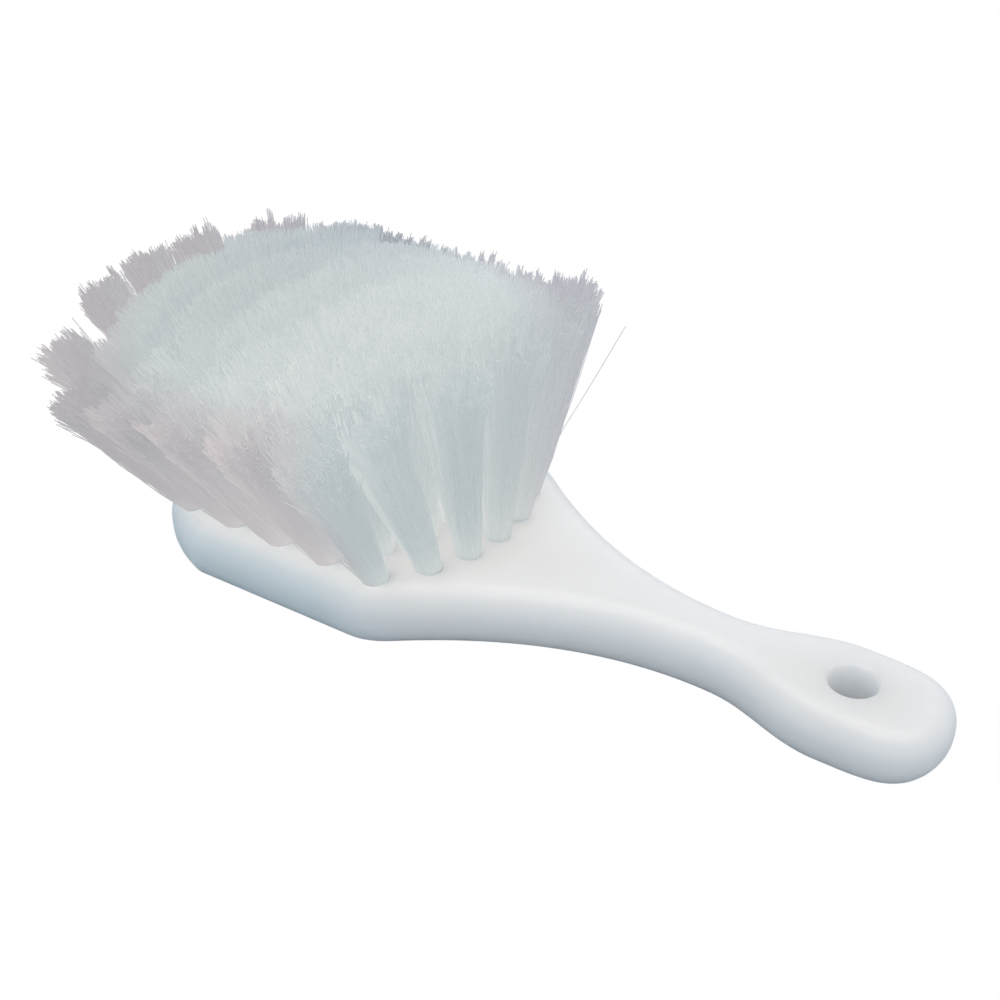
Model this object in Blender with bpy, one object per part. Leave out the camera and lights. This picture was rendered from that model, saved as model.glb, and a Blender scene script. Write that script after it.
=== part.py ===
"""A utility brush: a moulded paddle block with a hanging hole, set with fanned tufts of filament.

Metres, +Z up. The brush lies on its flat back with the tufts pointing up. Distances along the brush
are counted from the tip of the nose, and a parent empty puts the middle of the tuft field at X = 0.
"""
import math
import random

import bmesh
import bpy
from mathutils import Matrix, Vector
from mathutils.geometry import delaunay_2d_cdt

# The block's plan: a round nose, nearly straight sides, sloping shoulders, a neck and a grip pad.
# Places with REACH in their name are counted back from the handle's end
BRUSH_LENGTH = 0.203
NOSE_LENGTH = 0.0299
NOSE_HALF_WIDTH = 0.0403
SHOULDER_DISTANCE = 0.0815
SHOULDER_HALF_WIDTH = 0.0391
SHOULDER_ROUND = 0.0055
NECK_REACH = 0.0522
NECK_HALF_WIDTH = 0.0087
PAD_REACH = 0.0235
PAD_HALF_WIDTH = 0.0156

# The block's depth: a level head, then a handle that thins towards its end. All edges are rounded,
# the back's more widely under the head than under the handle
HEAD_THICKNESS = 0.0166
HANDLE_END_THICKNESS = 0.0132
TAPER_DISTANCE = 0.0990
FRONT_EDGE_SHARE = 0.42
BACK_EDGE_SHARE = 0.50
BACK_ROUND_HEAD = 0.0105
BACK_ROUND_HANDLE = 0.0060

# The hanging hole, through the pad with softened rims
HANG_HOLE_REACH = 0.0216
HANG_HOLE_RADIUS = 0.0053
HANG_HOLE_LIP = 0.0008

# The tuft holes: blind, drilled along each tuft's own slant, in rows that follow nose and shoulders
TUFT_HOLE_RADIUS = 0.0033
TUFT_HOLE_DEPTH = 0.0100
TUFT_CLEARANCE = 0.0003
SIDE_TUFT_INSET = 0.0100
NOSE_TUFT_INSET = 0.0097
HEEL_TUFT_REACH = 0.0104
HEEL_ARC_RADIUS = 0.0420
LEAST_ROW_PITCH = 0.0100
LEAST_TUFT_PITCH = 0.0125

# The fan: how long the tufts stand and how far their tips lean out over the block's edges. The side
# lean eases off towards the heel, and the trim runs a little longer on the nose's +Y side
TUFT_LENGTH = 0.0534
SIDE_LEAN = 0.0286
NOSE_LEAN = 0.0312
HEEL_LEAN = 0.0045
SIDE_TRIM = 0.0033
HEEL_TRIM = 0.0024
TRIM_SKEW = 0.0015
HEEL_EASE_SHARE = 0.20
LEAN_TURN = math.radians(77.0)

# The anchor: a flat staple across each hole's floor that pins the folded root and bites the walls
ANCHOR_THICKNESS = 0.0005
ANCHOR_HEIGHT = 0.0020
ANCHOR_BITE = 0.0007
ANCHOR_SEAT = 0.0012

# The strands: three-sided, in two rings on each root, spreading to wide rings at the trimmed tips.
# Along the edge of the fan they spread less towards the outside
STRAND_RADIUS = 0.00058
ROOT_COLLAR = 0.0008
TIP_JITTER = 0.0014
INNER_STRANDS = 3
OUTER_STRANDS = 7
ROOT_MARGIN = 0.00005
INNER_RING_SHARE = 0.38
INNER_TIP_RADIUS = 0.0035
OUTER_TIP_RADIUS = 0.0085
RIM_HOLD_SHARE = 0.27
RIM_POWER = 5

# Facets and overruns
NOSE_STEPS = 10
SHOULDER_STEPS = 13
PAD_STEPS = 5
END_STEPS = 9
EDGE_STEPS = 4
HANG_HOLE_SIDES = 28
TUFT_HOLE_SIDES = 10
STRAND_SIDES = 3
CUT_OVERRUN = 0.0060
SMOOTH_ANGLE = math.radians(40.0)
LEAST_MITRE_SHARE = 0.5
CELL_TOLERANCE_SHARE = 0.000001
JITTER_SEED = 7

# Finishes
BLOCK_COLOUR = (0.80, 0.80, 0.79)
BLOCK_ROUGHNESS = 0.38
FILAMENT_COLOUR = (0.74, 0.77, 0.76)
FILAMENT_ROUGHNESS = 0.30

NECK_DISTANCE = BRUSH_LENGTH - NECK_REACH
PAD_DISTANCE = BRUSH_LENGTH - PAD_REACH
HANG_HOLE_DISTANCE = BRUSH_LENGTH - HANG_HOLE_REACH
NOSE_RADIUS = (NOSE_LENGTH ** 2 + NOSE_HALF_WIDTH ** 2) / (2 * NOSE_LENGTH)
OUTER_ROW = NOSE_HALF_WIDTH - SIDE_TUFT_INSET


def clear_scene():
    """Start from an empty scene."""
    for old in list(bpy.data.objects):
        bpy.data.objects.remove(old)


def plastic(name, colour, roughness):
    """A plain moulded or drawn plastic."""
    material = bpy.data.materials.new(name)
    material.use_nodes = True
    shader = material.node_tree.nodes["Principled BSDF"]
    shader.inputs["Base Color"].default_value = (*colour, 1)
    shader.inputs["Roughness"].default_value = roughness
    shader.inputs["Metallic"].default_value = 0
    return material


def object_from(bm, name, material=None):
    """Turn a bmesh into an object of the scene, smooth across its soft edges."""
    bmesh.ops.recalc_face_normals(bm, faces=bm.faces)
    mesh = bpy.data.meshes.new(name)
    bm.to_mesh(mesh)
    bm.free()
    if material:
        mesh.materials.append(material)
    mesh.shade_smooth()
    mesh.set_sharp_from_angle(angle=SMOOTH_ANGLE)
    made = bpy.data.objects.new(name, mesh)
    bpy.context.scene.collection.objects.link(made)
    return made


def as_guide(made):
    """Mark an object as a tool for a Boolean, which is no part of the brush."""
    made.hide_render = True
    made.display_type = "WIRE"
    return made


def boolean(target, tool, operation):
    """Cut a tool out of a target, or join it on."""
    step = target.modifiers.new(tool.name, "BOOLEAN")
    step.object = tool
    step.operation = operation
    step.solver = "EXACT"


def thickness_at(distance):
    """The block's thickness at a distance from the nose."""
    run = (distance - TAPER_DISTANCE) / (BRUSH_LENGTH - TAPER_DISTANCE)
    return HEAD_THICKNESS + (HANDLE_END_THICKNESS - HEAD_THICKNESS) * max(run, 0)


def back_round_at(distance):
    """How far in from the block's side its back starts to round off."""
    run = (distance - SHOULDER_DISTANCE) / (NECK_DISTANCE - SHOULDER_DISTANCE)
    return BACK_ROUND_HEAD + (BACK_ROUND_HANDLE - BACK_ROUND_HEAD) * min(max(run, 0), 1)


def handle_half_width(distance):
    """Half the handle's width between the shoulder and the widest place of the pad."""
    if distance <= NECK_DISTANCE:
        run = (NECK_DISTANCE - distance) / (NECK_DISTANCE - SHOULDER_DISTANCE)
        return NECK_HALF_WIDTH + (SHOULDER_HALF_WIDTH - NECK_HALF_WIDTH) * run ** 2
    run = (distance - NECK_DISTANCE) / (PAD_DISTANCE - NECK_DISTANCE)
    return NECK_HALF_WIDTH + (PAD_HALF_WIDTH - NECK_HALF_WIDTH) * (1 - math.cos(math.pi * run)) / 2


def half_outline():
    """One side of the block's plan, from the nose's tip to the handle's end."""
    points = []
    nose_angle = math.asin(NOSE_HALF_WIDTH / NOSE_RADIUS)
    for step in range(NOSE_STEPS + 1):
        angle = nose_angle * step / NOSE_STEPS
        points.append((NOSE_RADIUS * (1 - math.cos(angle)), NOSE_RADIUS * math.sin(angle)))

    side_slope = (SHOULDER_HALF_WIDTH - NOSE_HALF_WIDTH) / (SHOULDER_DISTANCE - NOSE_LENGTH)
    corner = Vector((SHOULDER_DISTANCE, SHOULDER_HALF_WIDTH))
    before = corner - Vector((SHOULDER_ROUND, SHOULDER_ROUND * side_slope))
    after_distance = SHOULDER_DISTANCE + SHOULDER_ROUND
    after = Vector((after_distance, handle_half_width(after_distance)))
    for share in (0, 1 / 3, 2 / 3):
        first = before.lerp(corner, share)
        second = corner.lerp(after, share)
        points.append(tuple(first.lerp(second, share)))

    for step in range(SHOULDER_STEPS):
        distance = after_distance + (NECK_DISTANCE - after_distance) * step / SHOULDER_STEPS
        points.append((distance, handle_half_width(distance)))
    for step in range(PAD_STEPS):
        distance = NECK_DISTANCE + (PAD_DISTANCE - NECK_DISTANCE) * step / PAD_STEPS
        points.append((distance, handle_half_width(distance)))
    for step in range(END_STEPS + 1):
        angle = math.pi / 2 * step / END_STEPS
        distance = PAD_DISTANCE + (BRUSH_LENGTH - PAD_DISTANCE) * math.sqrt(math.sin(angle))
        points.append((distance, PAD_HALF_WIDTH * math.cos(angle)))
    points[-1] = (BRUSH_LENGTH, 0)
    return points


def inset_outline(outline, depth_of):
    """Move each point of a closed outline inwards, square to it, by a depth of its own."""
    moved = []
    for place, point in enumerate(outline):
        before = Vector(outline[place - 1])
        after = Vector(outline[(place + 1) % len(outline)])
        here = Vector(point)
        into = (here - before).normalized()
        out_of = (after - here).normalized()
        bisector = Vector((-(into.y + out_of.y), into.x + out_of.x)).normalized()
        mitre = max(bisector.dot(Vector((-into.y, into.x))), LEAST_MITRE_SHARE)
        moved.append(here + bisector * depth_of(point[0]) / mitre)
    return moved


def block_body():
    """The solid block: rings of the plan, drawn in towards both faces round the soft edge."""
    side = half_outline()
    mirrored = [(x, -y) for x, y in side[1:-1]]
    # Counter-clockwise seen from above: along the -Y side to the end, and back along the +Y side
    outline = [side[0]] + mirrored + [side[-1]] + list(reversed(side[1:-1]))
    bm = bmesh.new()

    def back_ring(turn):
        inner = inset_outline(outline, lambda distance: back_round_at(distance) * (1 - math.cos(turn)))
        verts = []
        for point, source in zip(inner, outline):
            height = BACK_EDGE_SHARE * thickness_at(source[0]) * (1 - math.sin(turn))
            verts.append(bm.verts.new((point.x, point.y, height)))
        return verts

    def front_ring(turn):
        edge_share = FRONT_EDGE_SHARE * (1 - math.cos(turn))
        inner = inset_outline(outline, lambda distance: edge_share * thickness_at(distance))
        verts = []
        for point, source in zip(inner, outline):
            share = 1 - FRONT_EDGE_SHARE * (1 - math.sin(turn))
            verts.append(bm.verts.new((point.x, point.y, share * thickness_at(source[0]))))
        return verts

    turns = [math.pi / 2 * step / EDGE_STEPS for step in range(EDGE_STEPS + 1)]
    rings = [back_ring(turn) for turn in reversed(turns)] + [front_ring(turn) for turn in turns]
    for lower, upper in zip(rings, rings[1:]):
        for place in range(len(outline)):
            following = (place + 1) % len(outline)
            bm.faces.new((lower[place], lower[following], upper[following], upper[place]))

    # The back is one flat face. The front is one over the level head and strips along the taper
    bm.faces.new(list(reversed(rings[0])))
    front = rings[-1]
    level = [place for place, point in enumerate(outline) if point[0] <= TAPER_DISTANCE]
    last = max(place for place in level if place <= len(mirrored))
    bm.faces.new([front[place] for place in range(last + 1)] + [front[place] for place in range(-last, 0)])
    for place in range(last, len(mirrored)):
        bm.faces.new((front[place], front[place + 1], front[-place - 1], front[-place]))
    bm.faces.new((front[len(mirrored)], front[len(mirrored) + 1], front[len(mirrored) + 2]))
    return bm


def turned(bm, profile, sides, axis_x):
    """A closed solid turned about an upright axis from a profile of radii and heights."""
    rows = []
    for radius, height in profile:
        row = []
        for side in range(sides):
            angle = 2 * math.pi * side / sides
            row.append(bm.verts.new((axis_x + radius * math.cos(angle), radius * math.sin(angle), height)))
        rows.append(row)
    for lower, upper in zip(rows, rows[1:]):
        for side in range(sides):
            following = (side + 1) % sides
            bm.faces.new((lower[side], lower[following], upper[following], upper[side]))
    bm.faces.new(list(reversed(rows[0])))
    bm.faces.new(rows[-1])


def hang_hole_cutter():
    """The hanging hole with the rounded lips of a moulded rim."""
    top = thickness_at(HANG_HOLE_DISTANCE)
    wide = HANG_HOLE_RADIUS + HANG_HOLE_LIP
    turns = [math.pi / 2 * step / EDGE_STEPS for step in range(EDGE_STEPS + 1)]
    lower_lip = [(wide - HANG_HOLE_LIP * math.sin(t), HANG_HOLE_LIP * (1 - math.cos(t))) for t in turns]
    upper_lip = [(radius, top - height) for radius, height in reversed(lower_lip)]
    profile = [(wide, -CUT_OVERRUN)] + lower_lip + upper_lip + [(wide, top + CUT_OVERRUN)]
    bm = bmesh.new()
    turned(bm, profile, HANG_HOLE_SIDES, HANG_HOLE_DISTANCE)
    return as_guide(object_from(bm, "hang_hole_cutter"))


def tuft_places():
    """Each tuft's row, number, place on the block and axis to the trim, and the way to a near edge."""
    rows_each_side = int(OUTER_ROW / LEAST_ROW_PITCH)
    for row in range(-rows_each_side, rows_each_side + 1):
        side = row / rows_each_side
        y = OUTER_ROW * side
        first = NOSE_RADIUS - math.sqrt(NOSE_RADIUS ** 2 - y ** 2) + NOSE_TUFT_INSET
        heel_drop = HEEL_ARC_RADIUS - math.sqrt(max(HEEL_ARC_RADIUS ** 2 - y ** 2, 0))
        last = SHOULDER_DISTANCE + HEEL_TUFT_REACH - heel_drop
        spaces = int((last - first) / LEAST_TUFT_PITCH)
        turn = math.cos(LEAN_TURN * side)
        for number in range(spaces + 1):
            run = number / spaces
            lean_x = turn * (HEEL_LEAN * run ** 2 - NOSE_LEAN * (1 - run))
            lean_y = side * SIDE_LEAN * (1 - HEEL_EASE_SHARE * run ** 2)
            trim = SIDE_TRIM * side ** 2 + HEEL_TRIM * run ** 2 - TRIM_SKEW * side * (1 - run)
            length = TUFT_LENGTH - trim
            rise = math.sqrt(length ** 2 - lean_x ** 2 - lean_y ** 2)
            place = Vector((first + (last - first) * run, y, HEAD_THICKNESS))
            edge = Vector(((2 * run - 1) ** RIM_POWER, side ** RIM_POWER))
            edge /= max(edge.length, 1)
            yield row + rows_each_side, number, place, Vector((lean_x, lean_y, rise)), edge


def tuft_matrix(place, axis):
    """The frame of a tuft: its origin at the hole's mouth and its Z up the tuft's slant."""
    turn = Vector((0, 0, 1)).rotation_difference(axis)
    return Matrix.Translation(place) @ turn.to_matrix().to_4x4()


def box(bm, size, centre, matrix):
    """A closed box of a size about a centre, in a frame."""
    made = bmesh.ops.create_cube(bm, size=1)
    shape = Matrix.Translation(centre) @ Matrix.Diagonal((*size, 1))
    bmesh.ops.transform(bm, matrix=matrix @ shape, verts=made["verts"])


def anchor_centre():
    """The middle of the anchor in its tuft's frame, a seat's height above the hole's floor."""
    return Vector((0, 0, ANCHOR_SEAT + ANCHOR_HEIGHT / 2 - TUFT_HOLE_DEPTH))


def anchor_size(clearance):
    """The anchor's thickness, length and height, or those of the slot that it bites into the wall."""
    length = TUFT_HOLE_RADIUS + ANCHOR_BITE + clearance
    return Vector((ANCHOR_THICKNESS + 2 * clearance, 2 * length, ANCHOR_HEIGHT + 2 * clearance))


def tuft_hole_cutters(places):
    """All the drilled holes in one cutter, and all the anchors' bites in the walls in another."""
    drills = bmesh.new()
    bites = bmesh.new()
    depth = TUFT_HOLE_DEPTH + CUT_OVERRUN
    for _row, _number, place, axis, _edge in places:
        frame = tuft_matrix(place, axis)
        centre = Matrix.Translation((0, 0, CUT_OVERRUN - depth / 2))
        bmesh.ops.create_cone(
            drills, segments=TUFT_HOLE_SIDES, cap_ends=True,
            radius1=TUFT_HOLE_RADIUS, radius2=TUFT_HOLE_RADIUS, depth=depth, matrix=frame @ centre)
        box(bites, anchor_size(TUFT_CLEARANCE), anchor_centre(), frame)
    return (as_guide(object_from(drills, "tuft_hole_cutter")),
            as_guide(object_from(bites, "anchor_bite_cutter")))


def strand_rings():
    """Each strand's direction and its distances from the tuft's axis at root and tip."""
    flat_to_axis = (TUFT_HOLE_RADIUS - TUFT_CLEARANCE) * math.cos(math.pi / TUFT_HOLE_SIDES)
    outer_root = flat_to_axis - STRAND_RADIUS - ROOT_MARGIN
    for strands, root, tip in (
            (INNER_STRANDS, outer_root * INNER_RING_SHARE, INNER_TIP_RADIUS),
            (OUTER_STRANDS, outer_root, OUTER_TIP_RADIUS)):
        for strand in range(strands):
            yield 2 * math.pi * strand / strands, root, tip


def tuft_body(axis, edge, rng):
    """A root that fills the hole, with its strands growing from the root's own upper face."""
    bm = bmesh.new()
    root_radius = TUFT_HOLE_RADIUS - TUFT_CLEARANCE
    tilt = axis.angle(Vector((0, 0, 1)))
    top = TUFT_HOLE_RADIUS * math.tan(tilt) + ROOT_COLLAR
    rim = []
    for side in range(TUFT_HOLE_SIDES):
        angle = 2 * math.pi * side / TUFT_HOLE_SIDES
        rim.append(Vector((-math.sin(angle), math.cos(angle))))
    flat = list(rim)
    faces = [list(range(TUFT_HOLE_SIDES))]
    travels = []
    for direction, root, tip in strand_rings():
        outwards = Vector((math.cos(direction), math.sin(direction)))
        held = tip * (1 - RIM_HOLD_SHARE * max(outwards.dot(edge), 0))
        reach = axis.length + rng.uniform(-TIP_JITTER, TIP_JITTER)
        travels.append((outwards * (held - root), reach))
        faces.append(list(range(len(flat), len(flat) + STRAND_SIDES)))
        for side in range(STRAND_SIDES):
            angle = direction + 2 * math.pi * side / STRAND_SIDES
            corner = Vector((math.cos(angle), math.sin(angle))) * STRAND_RADIUS
            flat.append((outwards * root + corner) / root_radius)
    cut_up = delaunay_2d_cdt(flat, [], faces, 0, CELL_TOLERANCE_SHARE)
    places, _edges, cells, _was_vert, _was_edge, was_face = cut_up

    upper = [bm.verts.new((spot.x * root_radius, spot.y * root_radius, top)) for spot in places]
    for cell, owners in zip(cells, was_face):
        strand = max(owners)
        if not strand:
            bm.faces.new([upper[corner] for corner in cell])
            continue
        offset, reach = travels[strand - 1]
        foot = [upper[corner] for corner in cell]
        tips = [bm.verts.new((vert.co.x + offset.x, vert.co.y + offset.y, reach)) for vert in foot]
        for side in range(STRAND_SIDES):
            following = (side + 1) % STRAND_SIDES
            bm.faces.new((foot[side], foot[following], tips[following], tips[side]))
        bm.faces.new(tips)

    floor = TUFT_CLEARANCE - TUFT_HOLE_DEPTH
    lower = [bm.verts.new((spot.x * root_radius, spot.y * root_radius, floor)) for spot in rim]
    outer = upper[:TUFT_HOLE_SIDES]
    for side in range(TUFT_HOLE_SIDES):
        following = (side + 1) % TUFT_HOLE_SIDES
        bm.faces.new((lower[side], lower[following], outer[following], outer[side]))
    bm.faces.new(lower)
    return bm


def make_brush():
    """Build the block and its tufts under one empty that carries the brush's own frame."""
    clear_scene()
    white_moulding = plastic("white_moulding", BLOCK_COLOUR, BLOCK_ROUGHNESS)
    drawn_filament = plastic("drawn_filament", FILAMENT_COLOUR, FILAMENT_ROUGHNESS)
    places = list(tuft_places())

    brush = bpy.data.objects.new("brush", None)
    bpy.context.scene.collection.objects.link(brush)
    brush.location.x = -(NOSE_TUFT_INSET + SHOULDER_DISTANCE + HEEL_TUFT_REACH) / 2

    block = object_from(block_body(), "handle_block", white_moulding)
    block.parent = brush
    for cutter in (hang_hole_cutter(), *tuft_hole_cutters(places)):
        cutter.parent = brush
        boolean(block, cutter, "DIFFERENCE")

    bar = bmesh.new()
    box(bar, anchor_size(0), anchor_centre(), Matrix.Identity(4))
    first_bar = as_guide(object_from(bar, "anchor_bar"))
    rng = random.Random(JITTER_SEED)
    for row, number, place, axis, edge in places:
        tuft = object_from(tuft_body(axis, edge, rng), f"tuft_{row}_{number}", drawn_filament)
        tuft.parent = brush
        tuft.matrix_local = tuft_matrix(place, axis)
        anchor = bpy.data.objects.new(f"anchor_{row}_{number}", first_bar.data)
        bpy.context.scene.collection.objects.link(as_guide(anchor))
        anchor.parent = tuft
        boolean(tuft, anchor, "UNION")
    bpy.data.objects.remove(first_bar)


make_brush()
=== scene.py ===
import math

import bmesh
import bpy
import numpy as np
from mathutils import Matrix, Quaternion, Vector


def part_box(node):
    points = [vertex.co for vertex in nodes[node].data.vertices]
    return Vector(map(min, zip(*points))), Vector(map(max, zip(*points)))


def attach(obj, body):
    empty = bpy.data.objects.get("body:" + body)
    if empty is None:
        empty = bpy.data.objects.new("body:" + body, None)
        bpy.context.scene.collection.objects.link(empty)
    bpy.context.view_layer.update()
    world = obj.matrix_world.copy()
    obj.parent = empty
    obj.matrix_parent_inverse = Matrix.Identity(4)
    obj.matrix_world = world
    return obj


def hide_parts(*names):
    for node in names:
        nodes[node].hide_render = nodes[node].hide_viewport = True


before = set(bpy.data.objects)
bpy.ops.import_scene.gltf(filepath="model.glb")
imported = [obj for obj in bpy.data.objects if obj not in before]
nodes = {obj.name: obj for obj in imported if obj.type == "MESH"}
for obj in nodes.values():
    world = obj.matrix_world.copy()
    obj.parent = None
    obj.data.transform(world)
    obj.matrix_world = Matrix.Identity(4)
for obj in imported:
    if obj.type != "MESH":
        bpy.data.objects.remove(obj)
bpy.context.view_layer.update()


# The block. One paddle of white polypropylene, moulded solid in a polished two-part mould: a level
# front for the tufts, a widely rounded back, sloping shoulders, a thin neck and a grip pad pierced
# for hanging. The tuft holes are drilled afterwards, each along the slant of its own tuft.
nose, block_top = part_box("handle_block")
nose_x = nose.x
end_x = block_top.x
head_thickness = block_top.z
nose_half_width = block_top.y
nose_length = 0.0299
shoulder_x = nose_x + 0.0815
shoulder_half_width = 0.0391
shoulder_round = 0.0055
neck_x = end_x - 0.0522
neck_half_width = 0.0087
pad_x = end_x - 0.0235
pad_half_width = 0.0156
taper_x = nose_x + 0.0990
handle_end_thickness = 0.0132
front_edge_share = 0.42
back_edge_share = 0.50
back_round_head = 0.0105
back_round_handle = 0.0060
crease = math.radians(38)
nose_radius = (nose_length ** 2 + nose_half_width ** 2) / (2 * nose_length)


def thickness_at(x):
    """How thick the block is there: level under the tufts, and thinner towards the handle's end."""
    run = (x - taper_x) / (end_x - taper_x)
    return head_thickness + (handle_end_thickness - head_thickness) * max(run, 0)


def back_round_at(x):
    """How far the back's rounding reaches in: wide on the head, and narrower on the handle."""
    run = (x - shoulder_x) / (neck_x - shoulder_x)
    return back_round_head + (back_round_handle - back_round_head) * min(max(run, 0), 1)


def handle_half_width(x):
    """Half the handle's width, from the shoulders through the neck to the pad."""
    if x <= neck_x:
        run = (neck_x - x) / (neck_x - shoulder_x)
        return neck_half_width + (shoulder_half_width - neck_half_width) * run ** 2
    run = (x - neck_x) / (pad_x - neck_x)
    return neck_half_width + (pad_half_width - neck_half_width) * (1 - math.cos(math.pi * run)) / 2


def half_plan():
    """One side of the block seen from above, from the nose's tip to the handle's end."""
    points = []
    nose_angle = math.asin(nose_half_width / nose_radius)
    for angle in np.linspace(0, nose_angle, 37):
        points.append((nose_x + nose_radius * (1 - math.cos(angle)), nose_radius * math.sin(angle)))
    slope = (shoulder_half_width - nose_half_width) / (shoulder_x - nose_x - nose_length)
    corner = Vector((shoulder_x, shoulder_half_width))
    before = corner - Vector((shoulder_round, shoulder_round * slope))
    after = Vector((shoulder_x + shoulder_round, handle_half_width(shoulder_x + shoulder_round)))
    straight_from = Vector(points[-1])
    for share in (0.2, 0.4, 0.6, 0.8):
        points.append(tuple(straight_from.lerp(before, share)))
    for share in np.linspace(0, 1, 9)[:-1]:
        points.append(tuple(before.lerp(corner, share).lerp(corner.lerp(after, share), share)))
    for x in np.linspace(after.x, neck_x, 37)[:-1]:
        points.append((x, handle_half_width(x)))
    for x in np.linspace(neck_x, pad_x, 15)[:-1]:
        points.append((x, handle_half_width(x)))
    for angle in np.linspace(0, math.pi / 2, 33)[:-1]:
        out = pad_x + (end_x - pad_x) * math.sqrt(math.sin(angle))
        points.append((out, pad_half_width * math.cos(angle)))
    points.append((end_x, 0))
    return points


def drawn_in(plan, depths):
    """Each point of a closed plan moved inwards, square to the plan, by its own depth."""
    here = np.array(plan)
    into = here - np.roll(here, 1, axis=0)
    out_of = np.roll(here, -1, axis=0) - here
    into /= np.linalg.norm(into, axis=1)[:, None]
    out_of /= np.linalg.norm(out_of, axis=1)[:, None]
    inward = np.stack([-(into[:, 1] + out_of[:, 1]), into[:, 0] + out_of[:, 0]], axis=1)
    inward /= np.linalg.norm(inward, axis=1)[:, None]
    return here + inward * np.array(depths)[:, None]


def smooth_object(bm, name):
    """The finished mesh as an object, shaded smooth up to its creases."""
    bmesh.ops.recalc_face_normals(bm, faces=bm.faces)
    mesh = bpy.data.meshes.new(name)
    bm.to_mesh(mesh)
    bm.free()
    mesh.shade_smooth()
    mesh.set_sharp_from_angle(angle=crease)
    made = bpy.data.objects.new(name, mesh)
    bpy.context.scene.collection.objects.link(made)
    return made


def moulded_paddle():
    """The whole block before its holes, in rings from the flat of its back to its level front."""
    side = half_plan()
    across = [(x, -y) for x, y in side[1:-1]]
    plan = [side[0]] + across + [side[-1]] + side[-2:0:-1]
    thickness = np.array([thickness_at(x) for x, _y in plan])
    back_round = np.array([back_round_at(x) for x, _y in plan])
    turns = np.linspace(0, math.pi / 2, 11)
    bm = bmesh.new()
    rings = []
    for turn in turns[::-1]:
        spots = drawn_in(plan, back_round * (1 - math.cos(turn)))
        heights = back_edge_share * thickness * (1 - math.sin(turn))
        rings.append([bm.verts.new((x, y, z)) for (x, y), z in zip(spots, heights)])
    for turn in turns:
        spots = drawn_in(plan, front_edge_share * thickness * (1 - math.cos(turn)))
        heights = thickness - front_edge_share * thickness * (1 - math.sin(turn))
        rings.append([bm.verts.new((x, y, z)) for (x, y), z in zip(spots, heights)])
    count = len(plan)
    for lower, upper in zip(rings, rings[1:]):
        for i in range(count):
            j = (i + 1) % count
            bm.faces.new((lower[i], lower[j], upper[j], upper[i]))
    bm.faces.new(rings[0][::-1])
    front = rings[-1]
    level = max(i for i in range(len(across) + 1) if plan[i][0] <= taper_x)
    bm.faces.new(front[:level + 1] + front[-level:])
    for i in range(level, len(across)):
        bm.faces.new((front[i], front[i + 1], front[-i - 1], front[-i]))
    last = len(across)
    bm.faces.new(front[last:last + 3])
    return smooth_object(bm, "block")


def turned_plug(bm, profile, sides, centre_x):
    """A round cutting tool, turned from a profile of radius and height and closed at its ends."""
    rows = []
    for radius, height in profile:
        spin = [2 * math.pi * side / sides for side in range(sides)]
        rows.append([bm.verts.new((centre_x + radius * math.cos(a), radius * math.sin(a), height))
                     for a in spin])
    for lower, upper in zip(rows, rows[1:]):
        for i in range(sides):
            j = (i + 1) % sides
            bm.faces.new((lower[i], lower[j], upper[j], upper[i]))
    bm.faces.new(rows[0][::-1])
    bm.faces.new(rows[-1])


def cut(target, cutter):
    """Cut a tool out of a piece for good, and throw the tool away."""
    step = target.modifiers.new("cut", "BOOLEAN")
    step.object = cutter
    step.operation = "DIFFERENCE"
    step.solver = "EXACT"
    bpy.context.view_layer.update()
    evaluated = target.evaluated_get(bpy.context.evaluated_depsgraph_get())
    cut_mesh = bpy.data.meshes.new_from_object(evaluated)
    target.modifiers.clear()
    target.data = cut_mesh
    bpy.data.objects.remove(cutter)


block = moulded_paddle()

hang_hole_x = end_x - 0.0216
hang_hole_radius = 0.0053
hang_hole_lip = 0.0008
hang_hole_sides = 72
overrun = 0.004
hang_hole = bmesh.new()
lip_turns = np.linspace(0, math.pi / 2, 7)
wide = hang_hole_radius + hang_hole_lip
hole_top = thickness_at(hang_hole_x)
lower_lip = [(wide - hang_hole_lip * math.sin(turn), hang_hole_lip * (1 - math.cos(turn)))
             for turn in lip_turns]
upper_lip = [(radius, hole_top - height) for radius, height in reversed(lower_lip)]
plug = [(wide, -overrun)] + lower_lip + upper_lip + [(wide, hole_top + overrun)]
turned_plug(hang_hole, plug, hang_hole_sides, hang_hole_x)
cut(block, smooth_object(hang_hole, "hang_hole"))

# Each CAD tuft gives its slant: from the middle of the root inside the block to the middle of the tips
tuft_hole_radius = 0.0031
tuft_hole_depth = 0.0100
tuft_hole_sides = 28
drill_above = 0.006
tufts = {}
for node in sorted(name for name in nodes if name.startswith("tuft_")):
    corners = np.array([vert.co for vert in nodes[node].data.vertices])
    root = Vector(corners[corners[:, 2] < head_thickness].mean(axis=0))
    tips = Vector(corners[corners[:, 2] > 2 * head_thickness].mean(axis=0))
    axis = (tips - root).normalized()
    mouth = root + axis * (head_thickness - root.z) / axis.z
    tufts[node] = (mouth, axis, (tips - mouth).length)

drills = bmesh.new()
for mouth, axis, _length in tufts.values():
    place = Matrix.Translation(mouth) @ Vector((0, 0, 1)).rotation_difference(axis).to_matrix().to_4x4()
    middle = Matrix.Translation((0, 0, (drill_above - tuft_hole_depth) / 2))
    bmesh.ops.create_cone(drills, segments=tuft_hole_sides, cap_ends=True, radius1=tuft_hole_radius,
                          radius2=tuft_hole_radius, depth=drill_above + tuft_hole_depth,
                          matrix=place @ middle)
cut(block, smooth_object(drills, "drills"))
block.data.set_sharp_from_angle(angle=crease)


def add(tree, kind, **sockets):
    """A shader node with the sockets and settings named after it."""
    made = tree.nodes.new(kind)
    for name, value in sockets.items():
        if hasattr(made, name):
            setattr(made, name, value)
        else:
            made.inputs[name.replace("_", " ")].default_value = value
    return made


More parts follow.
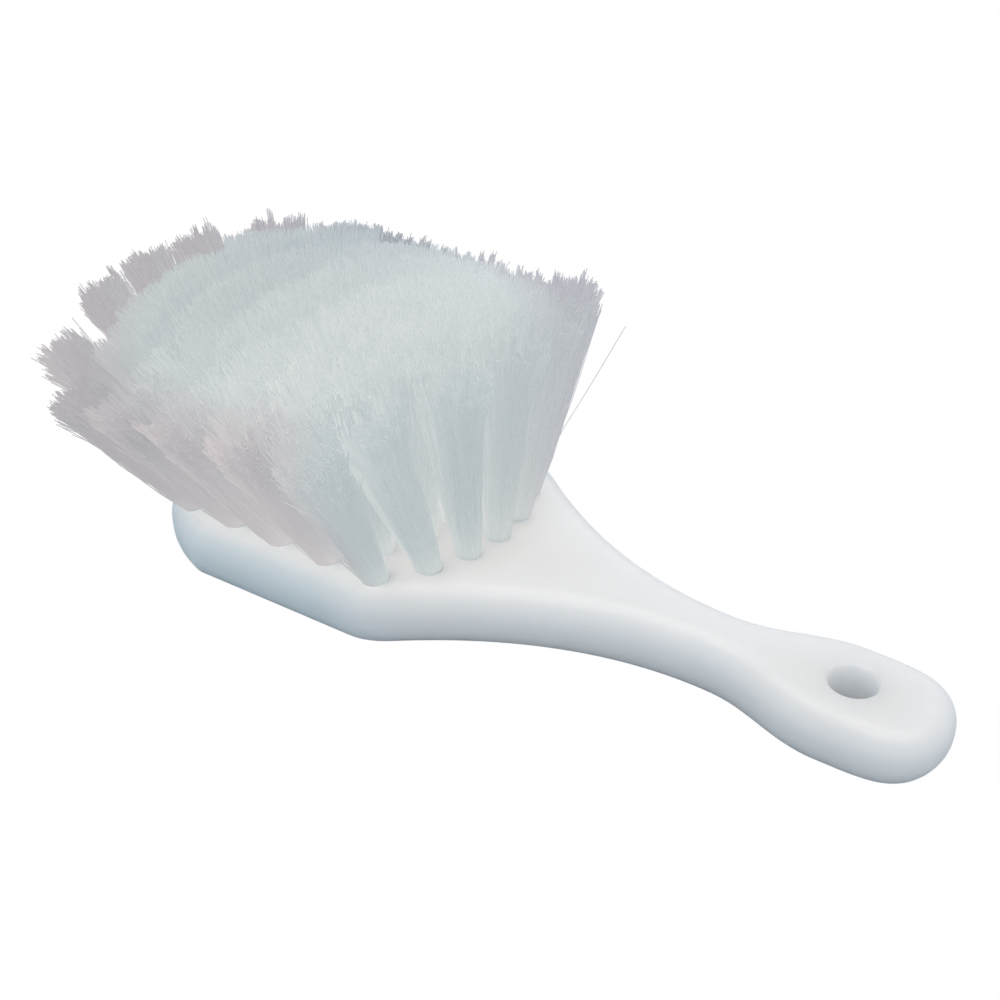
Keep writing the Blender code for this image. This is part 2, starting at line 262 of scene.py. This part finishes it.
def new_material(name):
    """A material with its node tree and its plain shader."""
    material = bpy.data.materials.new(name)
    material.use_nodes = True
    tree = material.node_tree
    return material, tree, tree.nodes["Principled BSDF"]


milky_white = (0.737, 0.732, 0.720, 1)
clear_white = (0.765, 0.759, 0.748, 1)
# Grey-blue for the painted shadow on the head's sides under the tufts
tuft_shadow_grey = (0.83, 0.91, 0.945, 1)
block_white, tree, shader = new_material("block_plastic")
shader.inputs["Subsurface Weight"].default_value = 0.9
shader.inputs["Subsurface Radius"].default_value = (0.9, 1.0, 1.1)
shader.inputs["Subsurface Scale"].default_value = 0.035
shader.inputs["IOR"].default_value = 1.49
place = add(tree, "ShaderNodeTexCoord")
cloud = add(tree, "ShaderNodeTexNoise", Scale=45.0, Detail=3.0)
tint = add(tree, "ShaderNodeValToRGB")
tint.color_ramp.elements[0].position = 0.3
tint.color_ramp.elements[0].color = milky_white
tint.color_ramp.elements[1].position = 0.7
tint.color_ramp.elements[1].color = clear_white
tree.links.new(place.outputs["Object"], cloud.inputs["Vector"])
tree.links.new(cloud.outputs["Fac"], tint.inputs["Fac"])
# The head's sides, under the tufts, get a painted shadow, a little grey and cool, in place of the tufts'
# shade
height = add(tree, "ShaderNodeSeparateXYZ")
shadow_below = 0.88 * head_thickness
shadow_from = shoulder_x + 0.010
shadow_to = shoulder_x - 0.015
side = add(tree, "ShaderNodeMapRange", From_Min=head_thickness, From_Max=shadow_below)
head = add(tree, "ShaderNodeMapRange", From_Min=shadow_from, From_Max=shadow_to)
both = add(tree, "ShaderNodeMath", operation="MULTIPLY")
# The painted shadow, multiplied into the block's colour where both masks meet
painted_shadow = add(tree, "ShaderNodeMix", data_type="RGBA", blend_type="MULTIPLY")
painted_shadow.inputs[7].default_value = tuft_shadow_grey
tree.links.new(place.outputs["Object"], height.inputs[0])
tree.links.new(height.outputs["X"], head.inputs["Value"])
tree.links.new(height.outputs["Z"], side.inputs["Value"])
tree.links.new(head.outputs["Result"], both.inputs[0])
tree.links.new(side.outputs["Result"], both.inputs[1])
tree.links.new(both.outputs[0], painted_shadow.inputs[0])
tree.links.new(tint.outputs["Color"], painted_shadow.inputs[6])
tree.links.new(painted_shadow.outputs[2], shader.inputs["Base Color"])
scuff = add(tree, "ShaderNodeTexNoise", Scale=260.0, Detail=6.0, Roughness=0.65)
gloss = add(tree, "ShaderNodeMapRange", From_Min=0.35, From_Max=0.65, To_Min=0.30, To_Max=0.42)
tree.links.new(place.outputs["Object"], scuff.inputs["Vector"])
tree.links.new(scuff.outputs["Fac"], gloss.inputs["Value"])
tree.links.new(gloss.outputs["Result"], shader.inputs["Roughness"])
grain = add(tree, "ShaderNodeTexNoise", Scale=1100.0, Detail=2.0)
bump = add(tree, "ShaderNodeBump", Strength=0.10, Distance=0.0002)
tree.links.new(place.outputs["Object"], grain.inputs["Vector"])
tree.links.new(grain.outputs["Fac"], bump.inputs["Height"])
tree.links.new(bump.outputs["Normal"], shader.inputs["Normal"])
block.data.materials.clear()
block.data.materials.append(block_white)
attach(block, "root")
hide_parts("handle_block")


# The tufts. Each is a bundle of drawn white filaments, folded in half over a flat wire anchor and
# driven into its hole. Packed tight where it leaves the hole, it opens into small locks, and all
# are trimmed to one dome. At the fan's rim the tufts stay tighter, and round the nose they end in fingers.
filament_radius = 0.00011
filament_sides = 3
wall_room = 1.5 * filament_radius
filaments_each = 850
path_steps = 8
root_depth = 0.0040
lock_count = 64
golden_angle = math.pi * (3 - math.sqrt(5))
inner_spread = 0.0145
rim_outward = 0.0040
heel_outward = 0.0075
far_outward = 0.0022
rim_beside = 0.0082
second_outward = 0.0065
second_beside = 0.0085
finger_beside = 0.0042
finger_growth = 0.0008
finger_inward = 0.0100
inner_early = 0.90
rim_early = 0.10
heel_early = 0.75
edge_power = 5
column_power = 5
lean_power = 1.3
lock_cling = 0.35
rim_cling = (0.30, 0.60)
lock_scatter = 0.0005
tip_scatter = 0.0004
ragged_inside = 0.0004
ragged_rim = 0.0010
lock_crown = 0.0014
over_dome = 0.0005
bow = 0.0005
waver = 0.00018
broken_share = 0.45
broken_off = 0.0110
trim_passes = 3


def sunflower(count, dice):
    """Even places in a disc of radius one."""
    order = np.arange(count)
    share = np.sqrt((order + 0.5) / count)
    spin = order * golden_angle + dice.uniform(0, 2 * math.pi)
    return np.stack([np.cos(spin), np.sin(spin)], axis=1) * share[:, None]


def dome_terms(x, y):
    """What a quadratic surface over the fan is made up from, at each place."""
    return np.stack([np.ones_like(x), x, y, x * x, x * y, y * y], axis=-1)


# All the tufts are trimmed to one dome, here the smooth surface that passes closest to their middles
tuft_tips = np.array([mouth + axis * length for mouth, axis, length in tufts.values()])
dome = np.linalg.lstsq(dome_terms(tuft_tips[:, 0], tuft_tips[:, 1]), tuft_tips[:, 2], rcond=None)[0]
rows = {}
for node in tufts:
    row, number = [int(part) for part in node.split("_")[1:]]
    rows[row] = max(rows.get(row, 0), number)

# Use has bent some tufts sideways in their own frames, and some stand out longer or shorter
bent = {"tuft_0_4": (0.0015, 0.0005), "tuft_1_0": (-0.0004, -0.0058), "tuft_1_5": (-0.0040, -0.0020),
        "tuft_4_0": (-0.0030, -0.0025), "tuft_5_0": (-0.0048, -0.0025)}
longer = {"tuft_1_0": -0.0015, "tuft_2_0": -0.0010, "tuft_4_0": 0.0010, "tuft_4_1": 0.0018,
          "tuft_5_0": -0.0003, "tuft_5_1": 0.0020, "tuft_6_0": -0.0034, "tuft_6_1": -0.0036,
          "tuft_6_2": -0.0026, "tuft_6_3": -0.0028, "tuft_6_4": 0.0012}

# Seven filaments have come loose. Their points go across the tuft, over it and up it
loose = {
    "tuft_5_5": [[(0.002, 0.001, 0.0), (0.0035, 0.0020, 0.015), (0.0075, 0.0043, 0.029),
                  (0.0118, 0.0070, 0.046)]],
    "tuft_1_0": [[(0, 0.001, 0), (-0.001, 0.002, 0.025), (-0.0023, 0.0040, 0.051)],
                 [(0, 0.001, 0), (0.001, 0.000, 0.025), (0.0010, 0.0020, 0.049)],
                 [(0, 0.001, 0), (0.001, 0.000, 0.025), (0.0000, -0.0005, 0.047)]],
    "tuft_1_5": [[(0, 0, 0), (0.0005, 0.0010, 0.015), (0.0010, 0.0020, 0.042)],
                 [(0, 0, 0), (0.0010, 0.0000, 0.015), (0.0020, -0.0010, 0.044)],
                 [(0, 0, 0), (0.0015, 0.0005, 0.015), (0.0005, -0.0020, 0.040)]],
}


def bundle(node, mouth, axis, length, dice):
    """The paths of one tuft's filaments, as an array of filament, step and place."""
    row, number = [int(part) for part in node.split("_")[1:]]
    edge = np.array([2 * number / rows[row] - 1, 2 * row / max(rows) - 1]) ** edge_power
    edge /= max(np.linalg.norm(edge), 1)
    at_edge = np.linalg.norm(edge)
    at_heel, at_far = np.maximum(edge, 0)
    outward = edge / at_edge if at_edge > 0 else np.array([1.0, 0.0])
    beside_it = np.array([-outward[1], outward[0]])
    count = filaments_each
    place = sunflower(count, dice)
    root = place * (tuft_hole_radius - wall_room)

    # Locks: neighbouring filaments cling together, so their tips are drawn to their lock's middle
    lock_middle = sunflower(lock_count, dice)
    from_middle = np.linalg.norm(place[:, None] - lock_middle[None], axis=2)
    lock = np.argmin(from_middle, axis=1)
    on_flank = row == 0 and number > 0
    cling = dice.uniform(0, lock_cling, lock_count) + at_edge * dice.uniform(*rim_cling, lock_count)
    if on_flank:
        cling = dice.uniform(0, lock_cling, lock_count)
    cling = cling[lock][:, None]
    drawn = place * (1 - cling) + lock_middle[lock] * cling

    # How far the tips lean out: less on the fan's rim, and in fingers round the nose
    out = drawn @ outward
    to_rim = np.clip(0.5 + out, 0, 1)
    outer = rim_outward + (heel_outward - rim_outward) * at_heel + (far_outward - rim_outward) * at_far
    outer = inner_spread + (outer - inner_spread) * at_edge
    inner = inner_spread
    beside = inner_spread + (rim_beside - inner_spread) * at_edge
    if number == 0:
        inner = finger_inward
        beside = finger_beside + finger_growth * max(row, 1)
    if number == 1:
        outer = min(outer, second_outward)
        beside = beside + (second_beside - beside) * to_rim
    tips = np.where(out > 0, out * outer, out * inner)[:, None] * outward
    tips += (drawn @ beside_it * beside)[:, None] * beside_it
    tips += dice.normal(0, lock_scatter, (lock_count, 2))[lock] + dice.normal(0, tip_scatter, (count, 2))
    lean = np.array(bent.get(node, (0.0, 0.0)))

    # The trim: inside the fan along the dome, at its rim square to each tuft, and on the -Y flank from
    # the one to the other
    turn = np.array(Vector((0, 0, 1)).rotation_difference(axis).to_matrix())
    middle = mouth + axis * length
    dome_slope = axis.z - (dome[1] + 2 * dome[3] * middle.x + dome[4] * middle.y) * axis.x \
        - (dome[2] + dome[4] * middle.x + 2 * dome[5] * middle.y) * axis.y
    reach = np.full(count, length)
    for _pass in range(trim_passes):
        end = np.concatenate([tips + lean, reach[:, None]], axis=1) @ turn.T + np.array(mouth)
        reach = reach - (end[:, 2] - dome_terms(end[:, 0], end[:, 1]) @ dome) / dome_slope
    square = np.sqrt(length ** 2 - ((tips + lean) ** 2).sum(axis=1))
    if on_flank:
        reach = reach + (square - reach) * to_rim
    elif at_edge > 0.5:
        reach = square
    else:
        reach = np.minimum(reach, square + over_dome)
    reach = reach + longer.get(node, 0.0)
    ragged = ragged_inside + ragged_rim * at_edge
    reach = reach + dice.normal(0, ragged, lock_count)[lock] + dice.normal(0, ragged_inside, count)
    reach -= lock_crown * at_edge * (from_middle.min(axis=1) * math.sqrt(lock_count)) ** 2

    # Scrubbing has broken off some of the filaments on the -Y flank
    if row == 0:
        broken = dice.random(count) < broken_share * to_rim
        reach -= broken * dice.uniform(0, broken_off, count)

    # Inside the fan a tuft opens evenly, and on the rim's outside it stays a column until near its tips
    past_middle = min(max(row - max(rows) / 2, 0) / 2, 1)
    early = rim_early + (heel_early - rim_early) * at_heel * past_middle
    early = inner_early + (early - inner_early) * at_edge * to_rim[:, None]
    steps = np.linspace(0, 1, path_steps)
    rise = -root_depth + (reach[:, None] + root_depth) * steps
    run = np.clip(rise / reach[:, None], 0, 1)
    opening = (early * run + (1 - early) * run ** column_power)[..., None]
    sideways = root[:, None] + (tips - root)[:, None] * opening + lean * (run ** lean_power)[..., None]
    sideways += dice.normal(0, bow, (count, 1, 2)) * np.sin(math.pi * run)[..., None]
    for order in (2, 3):
        sideways += dice.normal(0, waver, (count, 1, 2)) * np.sin(order * math.pi * run)[..., None]
    paths = np.concatenate([sideways, rise[..., None]], axis=2)

    # Single filaments that have come loose from the tuft
    for points in loose.get(node, ()):
        points = np.array(points)
        stops = np.linspace(0, 1, len(points))
        away = np.stack([np.interp(steps, stops, line) for line in points.T], axis=1)
        paths = np.concatenate([paths, away[None]])
    return paths @ turn.T + np.array(mouth)


strip_gap = 0.05
cap_room = 0.02


def tubes(paths, radius, sides):
    """Corners, faces and strips of thin tubes along paths, each closed by a cap at both ends."""
    count, steps, _three = paths.shape
    along = np.gradient(paths, axis=1)
    along /= np.linalg.norm(along, axis=2)[..., None]
    across = np.cross(along, np.array([0.0, 1.0, 0.0]))
    across /= np.linalg.norm(across, axis=2)[..., None]
    over = np.cross(along, across)
    spin = 2 * math.pi * np.arange(sides) / sides
    ring = across[:, :, None] * np.cos(spin)[:, None] + over[:, :, None] * np.sin(spin)[:, None]
    corners = (paths[:, :, None] + ring * radius).reshape(-1, 3)
    first = (np.arange(count * steps) * sides).reshape(count, steps)
    side = np.arange(sides)
    following = (side + 1) % sides
    lower = first[:, :-1, None]
    upper = first[:, 1:, None]
    walls = np.stack([lower + side, lower + following, upper + following, upper + side], axis=-1)
    caps = np.concatenate([first[:, -1, None] + side, (first[:, 0, None] + side)[:, ::-1]])

    # Every tube is laid out as an upright strip of its own, its walls beside each other
    number = np.arange(count)[:, None]
    left = (number + strip_gap + (1 - 2 * strip_gap) * side / sides) / count
    wide = (1 - 2 * strip_gap) / sides / count
    high = (1 - 2 * cap_room) / (steps - 1)
    left_walls = left[:, None] + np.zeros((1, steps - 1, 1))
    low_walls = cap_room + high * np.arange(steps - 1)[None, :, None] + np.zeros_like(left_walls)
    wall_strips = np.stack([left_walls, low_walls, left_walls + wide, low_walls,
                            left_walls + wide, low_walls + high, left_walls, low_walls + high], axis=-1)
    step_up = cap_room / 2 * (side % 2) + np.zeros_like(left)
    cap_strips = np.concatenate([np.stack([left, 1 - cap_room * 3 / 4 + step_up], axis=-1),
                                 np.stack([left, cap_room / 4 + step_up], axis=-1)])
    return corners, walls.reshape(-1, 4), caps, np.concatenate([wall_strips.ravel(), cap_strips.ravel()])


dull_filament = (0.93, 0.93, 0.91, 1)
bright_filament = (0.99, 0.985, 0.965, 1)
filament_white, tree, shader = new_material("filament")
shader.inputs["Roughness"].default_value = 0.45
shader.inputs["IOR"].default_value = 1.5
island = add(tree, "ShaderNodeNewGeometry")
shade = add(tree, "ShaderNodeValToRGB")
shade.color_ramp.elements[0].color = dull_filament
shade.color_ramp.elements[1].color = bright_filament
tree.links.new(island.outputs["Random Per Island"], shade.inputs["Fac"])
# The filaments' tint and painted shade come in from a colour attribute
tint_and_painted_shade = add(tree, "ShaderNodeAttribute", attribute_name="tint_and_painted_shade")
tinted = add(tree, "ShaderNodeMix", data_type="RGBA", blend_type="MULTIPLY")
tinted.inputs[0].default_value = 1.0
tree.links.new(tint_and_painted_shade.outputs["Color"], tinted.inputs[6])
tree.links.new(shade.outputs["Color"], tinted.inputs[7])
tree.links.new(tinted.outputs[2], shader.inputs["Base Color"])


# The fan's heart keeps a plain warm tint. Painted shade greys the rest, and is rosy round the nose and
# the -Y flank, slate along the far side and the heel, and darkest where those two meet
# Factors on the filament colour: a plain warm tint, then painted shade and a painted cool light
heart = np.array([1.0, 0.985, 0.93])
nose_shade = np.array([0.72, 0.755, 0.785])
far_cool_light = np.array([1.0, 1.01, 1.05])
rim_rose_shade = np.array([0.86, 0.76, 0.785])
rim_slate_shade = np.array([0.92, 0.94, 0.955])
heel_corner_shade = np.array([0.80, 0.745, 0.77])
nose_tip_shade = np.array([0.93, 0.93, 0.94])
column_shade = np.array([0.88, 0.895, 0.91])

# Where each starts and is full, as shares of the fan's half size from its middle
nose_shade_span = (0.3, -0.4)
far_cool_span = (0.0, 0.9)
rim_shade_span = (0.74, 1.00)
rosy_side = (0.03, -0.28)
rosy_slant = 0.8
corner_side = (-0.25, 0.75)
flank_side = (-0.6, -1.0)
nose_tip = (-0.55, -0.95)
columns_along = (0.4, 0.7)
columns_across = (0.2, -0.2)

# The -Y flank has less of the nose's painted shade, the columns' painted shade is darkest below their
# middles, and on every filament the painted shade fades out down towards its root
flank_relief = 0.3
column_fall = 0.8
shade_fade_root = 0.35
shade_fade_share = 0.35
fan_middle = tuft_tips.mean(axis=0)
fan_reach = np.ptp(tuft_tips, axis=0) / 2


def share_of(value, start, full):
    """How far each value has come from the start to where it is full, from 0 to 1."""
    return np.clip((value - start) / (full - start), 0, 1)[:, None]


def tint_and_painted_shade_of(paths):
    """The tint and painted shade of each filament at each step, by where in the fan its tip stands."""
    along, across = ((paths[:, -1] - fan_middle)[:, :2] / fan_reach[:2]).T
    at_rim = share_of(np.hypot(along, across), *rim_shade_span)
    rosy = share_of(along + rosy_slant * across, *rosy_side)
    on_flank = share_of(across, *flank_side)
    at_nose = share_of(along, *nose_tip) * (1 - on_flank)
    # Painted shade towards the nose and its tips, painted cool light on the far side, painted shade round
    # the rim and the heel corner
    colour = heart * nose_shade ** (share_of(along, *nose_shade_span) * (1 - flank_relief * on_flank))
    colour = colour * far_cool_light ** share_of(across, *far_cool_span) * nose_tip_shade ** at_nose
    colour = colour * rim_rose_shade ** (at_rim * rosy) * rim_slate_shade ** (at_rim * (1 - rosy))
    colour = colour * heel_corner_shade ** (at_rim * (1 - rosy) * share_of(across, *corner_side))
    up = np.linspace(0, 1, paths.shape[1])[None, :, None]
    # Painted shade on the heel columns, darkest below their middles
    in_column = (share_of(along, *columns_along) * share_of(across, *columns_across) * at_rim)[:, None]
    colour = colour[:, None] * column_shade ** (in_column * np.sin(math.pi * up ** column_fall))
    # The painted shade fades out near each root, so the roots are painted lighter
    return colour ** (1 - shade_fade_share * np.clip(1 - up / shade_fade_root, 0, 1))


dice = np.random.default_rng(12)
for node, (mouth, axis, length) in tufts.items():
    paths = bundle(node, mouth, axis, length, dice)
    corners, walls, caps, strips = tubes(paths, filament_radius, filament_sides)
    mesh = bpy.data.meshes.new(node.replace("tuft", "filaments"))
    mesh.from_pydata(corners.tolist(), [], walls.tolist() + caps.tolist())
    mesh.uv_layers.new(name="OFBake").data.foreach_set("uv", strips)
    # Each corner carries its filament's tint and painted shade
    colours = np.repeat(tint_and_painted_shade_of(paths).reshape(-1, 3), filament_sides, axis=0)
    colours = np.concatenate([colours, np.ones((len(colours), 1))], axis=1)
    mesh.attributes.new("tint_and_painted_shade", "FLOAT_COLOR", "POINT").data.foreach_set("color", colours.ravel())
    mesh.materials.append(filament_white)
    tuft = bpy.data.objects.new(mesh.name, mesh)
    bpy.context.scene.collection.objects.link(tuft)
    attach(tuft, "root")
    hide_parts(node)
    # Drawn filament passes light on, so a tuft glows from inside and shades neither block nor neighbour
    tuft.visible_shadow = False
    tuft.visible_diffuse = False


# Where the brush lies: a plain floor, lit by one large round lamp overhead and by an even sky. The
# camera looks down from the -Y side and the handle's end, and sees floor and sky as plain white.
floor_mesh = bpy.data.meshes.new("floor")
floor_half = 3.0
floor_blue = (0.44, 0.49, 0.54, 1)
floor_mesh.from_pydata([(-floor_half, -floor_half, 0), (floor_half, -floor_half, 0),
                        (floor_half, floor_half, 0), (-floor_half, floor_half, 0)], [], [(0, 1, 2, 3)])
floor = bpy.data.objects.new("floor", floor_mesh)
bpy.context.scene.collection.objects.link(floor)
floor_white, tree, shader = new_material("floor_white")
shader.inputs["Base Color"].default_value = floor_blue
shader.inputs["Roughness"].default_value = 0.9


def seen_white(tree, lit, output):
    """The camera sees plain white there, while the brush gets the light that is really there."""
    white = add(tree, "ShaderNodeEmission", Color=(1, 1, 1, 1), Strength=1.0)
    ray = add(tree, "ShaderNodeLightPath")
    either = add(tree, "ShaderNodeMixShader")
    tree.links.new(ray.outputs["Is Camera Ray"], either.inputs[0])
    tree.links.new(lit, either.inputs[1])
    tree.links.new(white.outputs[0], either.inputs[2])
    tree.links.new(either.outputs[0], output.inputs["Surface"])


seen_white(tree, shader.outputs[0], tree.nodes["Material Output"])
floor_mesh.materials.append(floor_white)


def soft_light(name, place, size, power, colour):
    """A round lamp that faces the middle of the floor."""
    data = bpy.data.lights.new(name, "AREA")
    data.shape = "DISK"
    data.size = size
    data.energy = power
    data.color = colour
    light = bpy.data.objects.new(name, data)
    light.location = place
    light.rotation_mode = "QUATERNION"
    light.rotation_quaternion = (-Vector(place)).to_track_quat("-Z", "Y")
    bpy.context.scene.collection.objects.link(light)


lamp_place = (0.10, 0.15, 1.2)
lamp_size = 1.4
lamp_power = 9.3
lamp_colour = (1.0, 0.84, 0.72)
soft_light("overhead", lamp_place, lamp_size, lamp_power, lamp_colour)

sky_colour = (0.78, 0.90, 1.0, 1)
sky_strength = 0.78
world = bpy.data.worlds.new("studio")
bpy.context.scene.world = world
world.use_nodes = True
tree = world.node_tree
tent = tree.nodes["Background"]
tent.inputs["Color"].default_value = sky_colour
tent.inputs["Strength"].default_value = sky_strength
seen_white(tree, tent.outputs[0], tree.nodes["World Output"])
bpy.context.scene.view_settings.view_transform = "Standard"
bpy.context.scene.cycles.diffuse_bounces = 10

view_turn = math.radians(34.4)
view_dip = math.radians(31.78)
view_roll = math.radians(0.18)
view_distance = 0.3364
view_aim = Vector((0.0348, 0.0098, 0.0192))
looking = Vector((-math.sin(view_turn) * math.cos(view_dip), math.cos(view_turn) * math.cos(view_dip),
                  -math.sin(view_dip)))
camera_data = bpy.data.cameras.new("camera")
camera_data.lens = 49.7
camera_data.sensor_width = 36.0
camera_data.clip_start = 0.01
camera = bpy.data.objects.new("camera", camera_data)
camera.location = view_aim - looking * view_distance
camera.rotation_mode = "QUATERNION"
camera.rotation_quaternion = looking.to_track_quat("-Z", "Y") @ Quaternion((0, 0, 1), view_roll)
bpy.context.scene.collection.objects.link(camera)
bpy.context.scene.camera = camera
